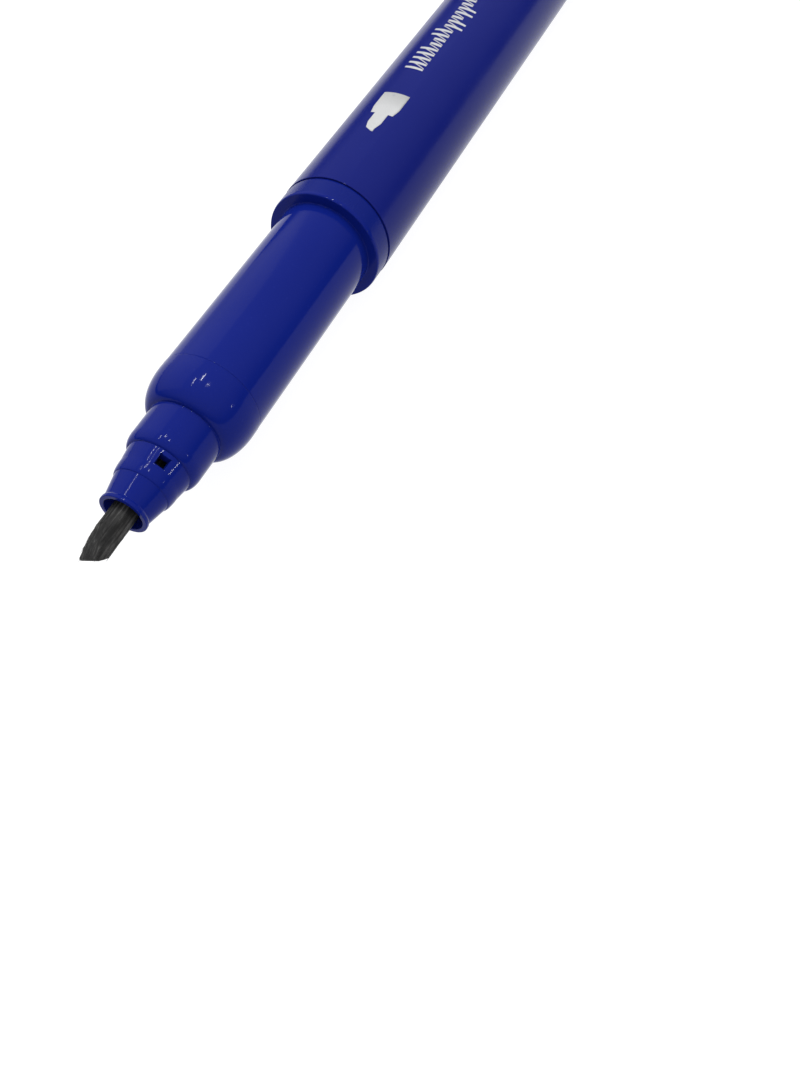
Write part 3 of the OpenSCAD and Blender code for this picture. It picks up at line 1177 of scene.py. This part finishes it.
@dataclass
class Nose:
    """A stepped nose that holds a nib, with a square vent in its wall."""

    place: Place
    finish: Shader
    shoulder_r: float
    steps: list[tuple[float, float, float, float]]
    front: Outline
    bore_r: float
    chamber: Point
    chamber_r: float
    window: Window
    ring_station: float = RING_STATION
    tail_len: float = 4.4
    tail_r: float = 3.67
    parting: Optional[PartingLine] = None

    def build(self) -> None:
        """Builds the nose as one turned moulding and opens its vent."""
        name = self.place.end.name.lower()
        back = self.ring_station - self.tail_len
        outline = [(back, self.bore_r), (back, self.tail_r), (self.ring_station, self.tail_r),
                   (self.ring_station, self.shoulder_r)]
        for step in self.steps:
            outline += rounding(*step)
        outline += self.front
        start, end = self.chamber
        outline += [(end + 0.5, self.bore_r), (end, self.chamber_r),
                    (start, self.chamber_r), (start - 0.5, self.bore_r)]
        shape = Turning(soften(outline, 0.07), window=self.window, parting=self.parting)
        piece = shape.build(f"{name}_nose_moulding", self.place)
        fit(piece, self.finish, Body.MARKER, f"{name}_nose")


@dataclass
class Nib:
    """A fibre rod ground to a chisel: rings of a star-shaped section, blended and fibrous."""

    place: Place
    finish: Shader
    name: str
    rod_r: float
    roll: float
    tip: float
    slant: float
    edge_w: float
    flank: Callable[[float], Iterable[tuple[float, float, float]]]
    edge_half: Callable[[float], float]
    streak_from: float
    fibre_density: float
    fibre_len: float
    columns: int = 224
    roughness: float = 0.014
    fibre_w: float = 0.03
    sharpness: float = 24.0

    def _reach(self, phi: float, thick: float, wide: float) -> float:
        """Distance from the axis to the nib's side in one direction.

        Args:
            phi: Direction in the nib's own section, from its edge line.
            thick: Half thickness there.
            wide: Half width there.

        Returns:
            The distance in millimetres, with the corners blended.
        """
        flat = thick / max(abs(math.sin(phi)), 1e-4)
        ends = wide / max(abs(math.cos(phi)), 1e-4)
        total = sum(reach ** -self.sharpness for reach in (self.rod_r, flat, ends))
        return total ** (-1 / self.sharpness)

    def _fibrous(self, station: float, phi: float) -> float:
        """Height of the fibre grooves on the exposed stretch.

        Args:
            station: Station of the spot.
            phi: Its direction in the nib's own section.

        Returns:
            The height in millimetres.
        """
        if station < self.streak_from:
            return 0.0
        across = Vector((math.cos(phi) * 7.0, math.sin(phi) * 7.0, station * 0.35))
        fine = Vector((math.cos(phi) * 19.0, math.sin(phi) * 19.0, station * 0.9))
        return self.roughness * (noise.noise(across) + 0.6 * noise.noise(fine) - 0.5)

    def build(self) -> None:
        """Builds the nib's mesh, closes both ends and lays its fibres."""
        mesh = bmesh.new()
        rings = []
        turns = [math.tau * (j + 0.5) / self.columns for j in range(self.columns)]
        for station, upper, lower in self.flank(self.tip):
            ring = []
            for phi in turns:
                reach = self._reach(phi, upper if phi < math.pi else lower, self.edge_half(station))
                across = reach * math.cos(phi)
                ahead = min(station, self.tip + self.slant * across / self.edge_w)
                reach += self._fibrous(ahead, phi)
                ring.append(mesh.verts.new(self.place.point(ahead, reach, phi + self.roll)))
            rings.append(ring)
        for ring, ahead in zip(rings, rings[1:]):
            for j in range(self.columns):
                k = (j + 1) % self.columns
                mesh.faces.new((ring[j], ahead[j], ahead[k], ring[k]))
        for ring in (rings[0], rings[-1]):
            self._close(mesh, ring)
        bmesh.ops.remove_doubles(mesh, verts=mesh.verts, dist=0.000001)
        bare = mesh_object(f"{self.name}_rod", mesh)
        back, front = sorted(
            self.place.point(s, 0, 0).x for s in (self.streak_from + 0.3, self.tip - 0.15))
        piece = grow(f"{self.name}_fibre_rod", fibre_tree(), {
            "Density": self.fibre_density, "Fibre Length": self.fibre_len * MM,
            "Fibre Thickness": self.fibre_w * MM, "Back": back, "Front": front,
            "Material": self.finish.material}, bare)
        fit(piece, self.finish, Body.MARKER, self.name)

    def _close(self, mesh: bmesh.types.BMesh, ring: Ring) -> None:
        """Closes an end with rings that shrink to its middle, so the face stays fine-grained.

        Args:
            mesh: The mesh being built.
            ring: The ring at the open end.
        """
        centre = sum((v.co for v in ring), Vector()) / len(ring)
        outer = ring
        for share in (0.8, 0.5, 0.2):
            inner = [mesh.verts.new(centre.lerp(v.co, share)) for v in ring]
            for j in range(len(ring)):
                k = (j + 1) % len(ring)
                mesh.faces.new((outer[j], inner[j], inner[k], outer[k]))
            outer = inner
        middle = mesh.verts.new(centre)
        for j in range(len(ring)):
            mesh.faces.new((outer[j], middle, outer[(j + 1) % len(ring)]))


@dataclass
class FineEnd:
    """The fine chisel end: neck, stepped nose and slim nib."""

    finishes: Finishes
    barrel_len: float = BARREL_LEN
    neck_r: float = 4.88
    rod_r: float = 1.15
    tip: float = 43.65
    bevel_station: float = 40.6
    under_station: float = 42.4
    edge_t: float = 0.25
    edge_roll: float = -60.0
    streak_from: float = 37.5
    chamber: Point = (31.5, 35.0)
    chamber_r: float = 2.05
    vent_station: float = 34.3
    vent_roll: float = -32.0
    vent_wall_r: float = 2.84

    def build(self) -> None:
        """Builds the end's three pieces."""
        place = Place(End.FINE, self.barrel_len)
        blue = self.finishes.blue
        Section(place, self.neck_r, blue, self.finishes.blue_collar).build()
        bore = self.rod_r + PUSH_GAP
        front = [(38.3, 2.08), (38.5, 2.2), (38.8, 2.2), (38.8, 1.8), (37.8, 1.56), (37.2, bore)]
        vent = Window(self.vent_station, VENT_W, math.radians(self.vent_roll), self.vent_wall_r)
        Nose(place, blue, self.neck_r + NOSE_STEP,
             [(25.7, 4.91, 29.2, 3.42), (32.3, 3.4, 33.4, 2.95), (34.9, 2.75, 36.2, 2.5)],
             front, bore, self.chamber, self.chamber_r, vent).build()
        Nib(place, self.finishes.nib, "fine_nib", self.rod_r, math.radians(self.edge_roll),
            self.tip, slant=0.0, edge_w=2 * self.rod_r, flank=self._flank,
            edge_half=lambda station: UNCUT, streak_from=self.streak_from,
            fibre_density=1.0e7, fibre_len=1.1).build()

    def _flank(self, tip: float) -> Iterable[tuple[float, float, float]]:
        """The half thicknesses along the rod: round, then a long bevel on top and a short one below.

        Args:
            tip: Station of the edge.

        Returns:
            Stations with the upper and lower half thickness, from the root to the edge.
        """
        def ground(station: float, start: float) -> float:
            """Half thickness left by a bevel that starts at a station."""
            share = max(0.0, (station - start) / (tip - start))
            return self.rod_r - (self.rod_r - self.edge_t / 2) * min(1.0, share)

        # rings stand close together where the rod shows, and closer still along the bevels
        stations = [NIB_ROOT, 30.0, 37.0] + [37.0 + 0.15 * k for k in range(1, 23)]
        stations += [40.4 + (tip - 0.06 - 40.4) * k / 60 for k in range(61)] + [tip]
        rows = [(s, ground(s, self.bevel_station), ground(s, self.under_station)) for s in stations]
        return rows[:-1] + [(tip, self.edge_t * 0.36, self.edge_t * 0.36)]


@dataclass
class BroadEnd:
    """The broad chisel end: neck, stepped nose and wide scooped nib."""

    finishes: Finishes
    barrel_len: float = BARREL_LEN
    neck_r: float = 4.62
    rod_r: float = 2.05
    tip: float = 42.8
    body_station: float = 38.6
    scoop_end: float = 41.1
    edge_t: float = 0.9
    edge_w: float = 3.5
    edge_slant: float = 0.8
    edge_roll: float = -3.0
    streak_from: float = 36.6
    chamber: Point = (30.5, 32.8)
    chamber_r: float = 2.5
    vent_station: float = 31.9
    vent_roll: float = -38.0
    vent_wall_r: float = 3.03
    parting_roll: float = 38.0
    lip_r: float = 2.42
    lip_line_r: float = 2.32

    def build(self) -> None:
        """Builds the end's three pieces."""
        place = Place(End.BROAD, self.barrel_len)
        black = self.finishes.black
        parting = PartingLine(math.radians(self.parting_roll))
        Section(place, self.neck_r, black, self.finishes.collar, parting).build()
        bore = self.rod_r + PUSH_GAP
        lip, line = self.lip_r, self.lip_line_r
        front = [(36.25, lip), (36.25, line), (36.45, line), (36.45, lip)]
        front += rounding(37.0, lip, 37.4, 2.2, 8)
        front += [(37.4, bore)]
        vent = Window(self.vent_station, VENT_W, math.radians(self.vent_roll), self.vent_wall_r)
        Nose(place, black, self.neck_r + NOSE_STEP,
             [(26.3, 4.65, 29.0, 3.15), (32.4, 3.0, 33.2, 2.5)],
             front, bore, self.chamber, self.chamber_r, vent, parting=parting).build()
        # the slanted edge reaches half its slant beyond the tip given here
        Nib(place, self.finishes.nib, "broad_nib", self.rod_r, math.radians(self.edge_roll),
            self.tip - self.edge_slant / 2, slant=self.edge_slant, edge_w=self.edge_w,
            flank=self._flank, edge_half=self._half_width, streak_from=self.streak_from,
            fibre_density=3.0e6, fibre_len=0.7, roughness=0.008).build()

    def _half_width(self, station: float) -> float:
        """Half width of the blade, which narrows from the body to the edge.

        Args:
            station: Station along the nib.

        Returns:
            The half width, wider than the rod where the body isn't cut.
        """
        if station < self.body_station:
            return UNCUT
        share = min(1.0, (station - self.body_station) / (self.tip - self.body_station))
        return self.rod_r + (self.edge_w / 2 - self.rod_r) * share

    def _flank(self, tip: float) -> Iterable[tuple[float, float, float]]:
        """The half thickness along the rod: rounded shoulder, hollow scoop, flat blade.

        Args:
            tip: Station of the edge.

        Returns:
            Stations and half thicknesses, from the root to the edge.
        """
        r, root = self.rod_r, self.edge_t / 2 + 0.1
        start = (self.body_station + 0.3, r - 0.4)
        stretch = [(NIB_ROOT, r), (30.0, r), (36.0, r)]
        stretch += [(36.0 + 0.15 * k, r) for k in range(1, 14)]
        stretch += rounding(self.body_station - 0.5, r, *start, 12)
        for k in range(1, 31):
            a = math.pi / 2 * k / 30
            stretch.append((start[0] + (self.scoop_end - start[0]) * (1 - math.cos(a)),
                            start[1] - (start[1] - root) * math.sin(a)))
        blade = tip + 0.42 - self.scoop_end
        stretch += [(self.scoop_end + blade * k / 20, root - 0.07 * k / 20) for k in range(1, 21)]
        return [(station, thick, thick) for station, thick in stretch]


@dataclass
class Cap:
    """A pull-off cap: shell, inner seal cup, end plug and, on the fine end, a pocket clip."""

    place: Place
    body: Body
    finish: Shader
    seal_finish: Shader
    seal_bore_r: float
    has_clip: bool
    radius: float = 6.0
    bore_r: float = 5.1
    length: float = 44.6
    wall: float = 1.0
    plug_r: float = 4.0
    edge_break: float = 0.12
    clip_top_r: float = 8.8
    clip_w: float = 3.2
    clip_end: float = 12.0
    seal_ends: Point = (27.2, 42.8)
    seal_flange: float = 1.2
    seal_floor: float = 1.0
    seal_wall: float = 0.6
    plug_reach: float = 1.6
    plug_head: float = 1.6

    @property
    def name(self) -> str:
        """Name of the cap's body."""
        return self.body.value

    def build(self) -> None:
        """Builds every piece of the cap."""
        self._shell()
        self._seal()
        self._plug(1.0 if self.has_clip else 0.0)
        if self.has_clip:
            self._clip()

    def _shell(self) -> None:
        """Builds the shell: a grown tube joined with its drilled end wall."""
        ends = sorted(self.place.point(s, 0, 0).x for s in (0.0, self.length))
        tube = grow(f"{self.name}_tube", tube_tree(), {
            "Start": ends[0], "End": ends[1], "Outer Radius": self.radius * MM,
            "Bore Radius": self.bore_r * MM, "Edge Break": 0.2 * MM, "Columns": 192,
            "Material": self.finish.material})
        back = self.length - self.wall
        hole, rim = self.plug_r + PUSH_GAP, self.bore_r + 0.3
        web = Turning(soften([(back, hole), (self.length, hole), (self.length, rim), (back, rim)], 0.06))
        end_wall = web.build(f"{self.name}_end_wall", self.place)
        piece = joined(f"{self.name}_shell_moulding", (tube, end_wall))
        piece.data.set_sharp_from_angle(angle=math.radians(16))
        fit(piece, self.finish, self.body, f"{self.name}_shell")

    def _seal(self) -> None:
        """Builds the inner cup that closes round the nose."""
        (front, back), flange, floor = self.seal_ends, self.seal_flange, self.seal_floor
        bore, rim = self.seal_bore_r, self.bore_r - PUSH_GAP
        cup = bore + self.seal_wall
        outline = [(front, bore + 0.15), (front, rim), (front + flange, rim), (front + flange, cup),
                   (back - flange, cup), (back - flange, rim), (back, rim), (back, 0.0),
                   (back - floor, 0.0), (back - floor, bore), (front + 0.5, bore)]
        piece = Turning(soften(outline, 0.12), 128).build(f"{self.name}_seal_cup", self.place)
        fit(piece, self.seal_finish, self.body, f"{self.name}_seal")

    def _plug(self, lift: float) -> None:
        """Builds the end plug.

        Args:
            lift: How far its head stands off the shell, which makes room for the clip's ring.
        """
        seat, rim = self.length + lift, self.radius - self.edge_break
        inner, top = self.length - self.plug_reach, seat + self.plug_head
        outline = [(inner, 0.0), (inner, self.plug_r), (seat, self.plug_r), (seat, rim)]
        outline += rounding(top - 1.0, rim, top, rim - 1.08)
        outline += [(top, 0.0)]
        piece = Turning(soften(outline, 0.09), 144).build(f"{self.name}_end_plug", self.place)
        fit(piece, self.finish, self.body, f"{self.name}_plug")

    def _clip(self) -> None:
        """Builds the pocket clip: its ring under the plug, and the arm folded over the shell."""
        top, under = self.clip_top_r, self.clip_top_r - 1
        # the cap lies turned until the clip's outer corner touches the table too
        corner = math.hypot(top, self.clip_w / 2)
        roll = math.pi - math.acos(self.radius / corner) - math.atan(self.clip_w / 2 / top)
        hole, rim, end = self.plug_r + PUSH_GAP, self.radius - self.edge_break, self.length + 1.0
        ring = Turning(soften([(self.length, hole), (self.length, rim), (end, rim), (end, hole)], 0.08), 144)
        start, inward, pad = self.length + 0.05, self.radius - 0.8, self.radius + 0.12
        tail = self.clip_end
        # along the arm's underside to the pad near its tail, and back along its top
        outline = [(start, inward), (start, under), (tail + 4.5, under), (tail + 3.0, pad),
                   (tail + 1.0, pad), (tail, under), (tail, top - 0.3), (tail + 0.5, top),
                   (end - 1, top)]
        outline += rounding(end - 1, top, end, top - 1, 8)[1:]
        outline += [(end, inward)]
        arm = swept_bar(f"{self.name}_arm", self.place, outline, self.clip_w, roll)
        piece = joined(f"{self.name}_pocket_clip", (ring.build(f"{self.name}_ring", self.place), arm))
        fit(piece, self.finish, self.body, f"{self.name}_clip")


@dataclass
class Reservoir:
    """The ink reservoir inside the barrel, kept from the frame and dressed."""

    finishes: Finishes

    def dress(self) -> None:
        """Gives the wadding core and its film their finishes."""
        for node, finish in (("ink_reservoir_core", self.finishes.wick),
                             ("ink_reservoir_film", self.finishes.film)):
            dress(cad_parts[node], finish)
            LOG.info("%s: dressed in %s", node, finish.material.name)


# ---------------------------------------------------------------- studio


@dataclass
class Studio:
    """A white table under soft light, and the camera over the fine tip."""

    table_z: float = -6.0
    table_half: float = 4000.0
    camera_at: tuple[float, float, float] = (-109.56, -39.71, 64.34)
    pitch: float = 55.13
    heading: float = 23.91
    lens: float = 33.0

    def build(self) -> None:
        """Builds the table, the room's light and the camera."""
        self._table()
        self._room()
        self._lamps()
        self._camera()

    def _table(self) -> None:
        """Builds the white, softly lit table top as a flat plate."""
        mesh = bmesh.new()
        half, step = self.table_half, 12
        for j in range(step + 1):
            for i in range(step + 1):
                x, y = (i / step * 2 - 1) * half, (j / step * 2 - 1) * half
                mesh.verts.new(Vector((x, y, self.table_z - 0.02)) * MM)
        mesh.verts.ensure_lookup_table()
        for j in range(step):
            for i in range(step):
                a = j * (step + 1) + i
                mesh.faces.new([mesh.verts[k] for k in (a, a + 1, a + step + 2, a + step + 1)])
        table = mesh_object("table_top", mesh, outward=False)
        paint = Shader("table_white", "")
        shade = paint.ramp(paint.grain(0.05, (1.0, 1.0), 2.0),
                           [(0.3, (0.15, 0.15, 0.15)), (0.7, (0.17, 0.17, 0.17))])
        paint.feed(shade, paint.surface.inputs["Base Color"])
        paint.set(Roughness=0.9, Emission_Color=(1.0, 1.0, 1.0, 1.0), Emission_Strength=0.94)
        table.data.materials.append(paint.material)

    def _room(self) -> None:
        """Gives the room a dark skirting that brightens softly to the ceiling."""
        world = bpy.data.worlds.new("room")
        bpy.context.scene.world = world
        world.use_nodes = True
        nodes, links = world.node_tree.nodes, world.node_tree.links
        place = nodes.new("ShaderNodeTexCoord")
        split = nodes.new("ShaderNodeSeparateXYZ")
        ramp = nodes.new("ShaderNodeValToRGB")
        links.new(place.outputs["Generated"], split.inputs[0])
        links.new(split.outputs["Z"], ramp.inputs[0])
        back = next(n for n in nodes if n.type == "BACKGROUND")
        # what is seen directly behind the table is plain and pale; the gradient only lights
        seen = nodes.new("ShaderNodeLightPath").outputs["Is Camera Ray"]
        backdrop = nodes.new("ShaderNodeMix")
        backdrop.data_type = "RGBA"
        links.new(seen, backdrop.inputs[0])
        links.new(ramp.outputs[0], backdrop.inputs[6])
        backdrop.inputs[7].default_value = (0.86, 0.86, 0.87, 1.0)
        links.new(backdrop.outputs[2], back.inputs[0])
        elements = ramp.color_ramp.elements
        stops = ((0.0, 0.02), (0.17, 0.03), (0.36, 0.5), (0.62, 0.95), (1.0, 1.1))
        while len(elements) < len(stops):
            elements.new(0.5)
        for element, (spot, grey) in zip(elements, stops):
            element.position, element.color = spot, (grey, grey, grey * 1.03, 1.0)
        back.inputs[1].default_value = 1.0

    def _lamps(self) -> None:
        """Hangs small lamps, whose glints fall on the rounded edges, and one broad fill."""
        rigs = (("ceiling_strip", (0.30, 0.03, 0.95), 0.60, (0.11, 0.016), 0.7),
                ("ceiling_line", (0.10, 0.20, 0.97), 0.60, (0.14, 0.008), 0.5),
                ("ceiling_pane", (0.20, -0.24, 0.95), 0.60, (0.03, 0.022), 0.35),
                ("side_pane", (0.20, -0.94, 0.27), 0.60, (0.026, 0.02), 0.12),
                ("left_fill", (0.25, 0.80, 0.55), 0.70, (0.80, 0.80), 1.4))
        aim = self._focus()
        for name, direction, distance, (long, short), power in rigs:
            lamp = bpy.data.lights.new(name, "AREA")
            lamp.shape, lamp.size, lamp.size_y, lamp.energy = "RECTANGLE", long, short, power
            holder = bpy.data.objects.new(name, lamp)
            bpy.context.scene.collection.objects.link(holder)
            way = Vector(direction).normalized()
            across = way.cross(Vector((1.0, 0.0, 0.0))).normalized()
            holder.matrix_world = Matrix((across.cross(way), across, way)).transposed().to_4x4()
            holder.location = aim + way * distance

    def _focus(self) -> Vector:
        """The middle of the fine end."""
        low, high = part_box("fine_section")
        return (Vector(low) + Vector(high)) / 2

    def _camera(self) -> None:
        """Sets the camera over the fine tip."""
        pitch, heading = math.radians(self.pitch), math.radians(self.heading)
        level = math.cos(pitch)
        way = Vector((math.cos(heading) * level, math.sin(heading) * level, -math.sin(pitch)))
        data = bpy.data.cameras.new("camera")
        data.lens, data.sensor_width, data.sensor_fit = self.lens, 36.0, "AUTO"
        data.clip_start, data.clip_end = 0.002, 20.0
        camera = bpy.data.objects.new("camera", data)
        bpy.context.scene.collection.objects.link(camera)
        camera.location = Vector(self.camera_at) * MM
        camera.rotation_euler = way.to_track_quat("-Z", "Y").to_euler()
        bpy.context.scene.camera = camera
        bpy.context.scene.view_settings.view_transform = "Standard"


def main() -> None:
    """Builds the studio, then every sub-assembly of the marker."""
    logging.basicConfig(level=logging.INFO, format="%(name)s %(message)s")
    Studio().build()
    finishes = Finishes()
    Barrel(finishes).build()
    FineEnd(finishes).build()
    BroadEnd(finishes).build()
    Reservoir(finishes).dress()
    Cap(Place(End.FINE, BARREL_LEN, mouth=65.4), Body.FINE_CAP, finishes.blue, finishes.seal,
        seal_bore_r=3.6, has_clip=True).build()
    Cap(Place(End.BROAD, BARREL_LEN, mouth=54.8), Body.BROAD_CAP, finishes.black, finishes.seal,
        seal_bore_r=3.4, has_clip=False).build()


if __name__ == "__main__":
    main()
